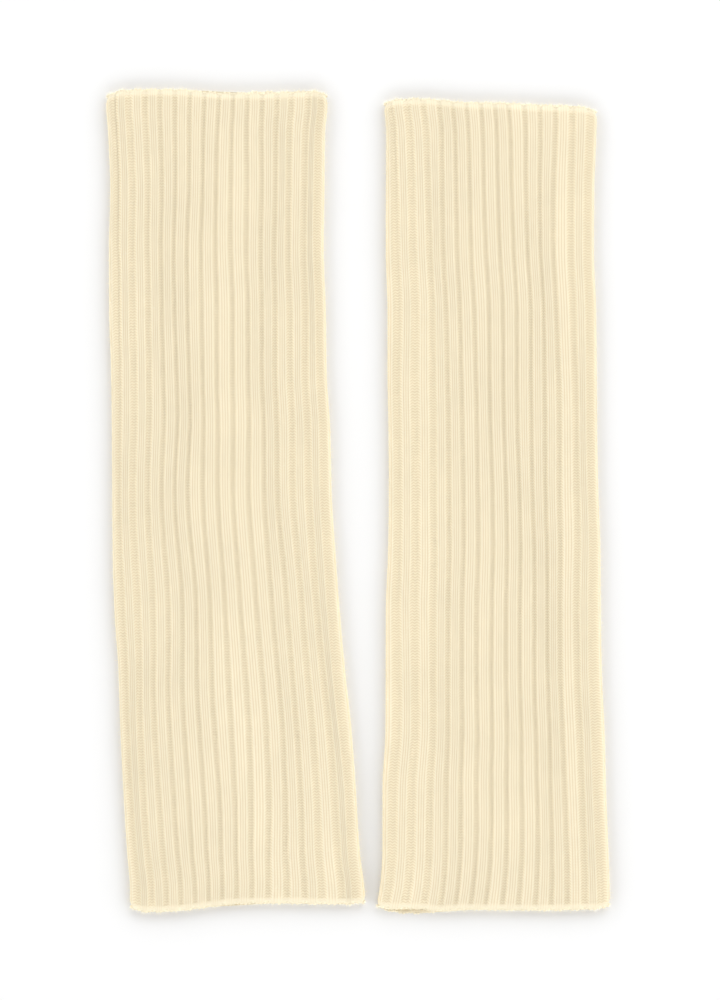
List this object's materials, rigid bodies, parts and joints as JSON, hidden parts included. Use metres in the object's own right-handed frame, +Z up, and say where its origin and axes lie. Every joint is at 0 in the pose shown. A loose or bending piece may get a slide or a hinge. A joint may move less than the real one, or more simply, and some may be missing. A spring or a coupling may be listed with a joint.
{
  "type": "pair of leg warmers",
  "caption": "Pair of footless rib-knit leg warmers laid flat side by side: straight cream tubes with wide raised ribs and plain end edges.",
  "frame": {"origin": "bottom centre of the pair's bounding box, on the surface that both lie on", "axes": "+Y along the legs' length towards their top ends, +X across the pair to the right leg warmer, +Z up from the surface"},
  "size_m": [0.26, 0.4248, 0.0058],
  "materials": {
    "rib_knit": "matte"
  },
  "bodies": {
    "root": {"left_leg_warmer": "rib_knit", "right_leg_warmer": "rib_knit"}
  },
  "joints": []
}
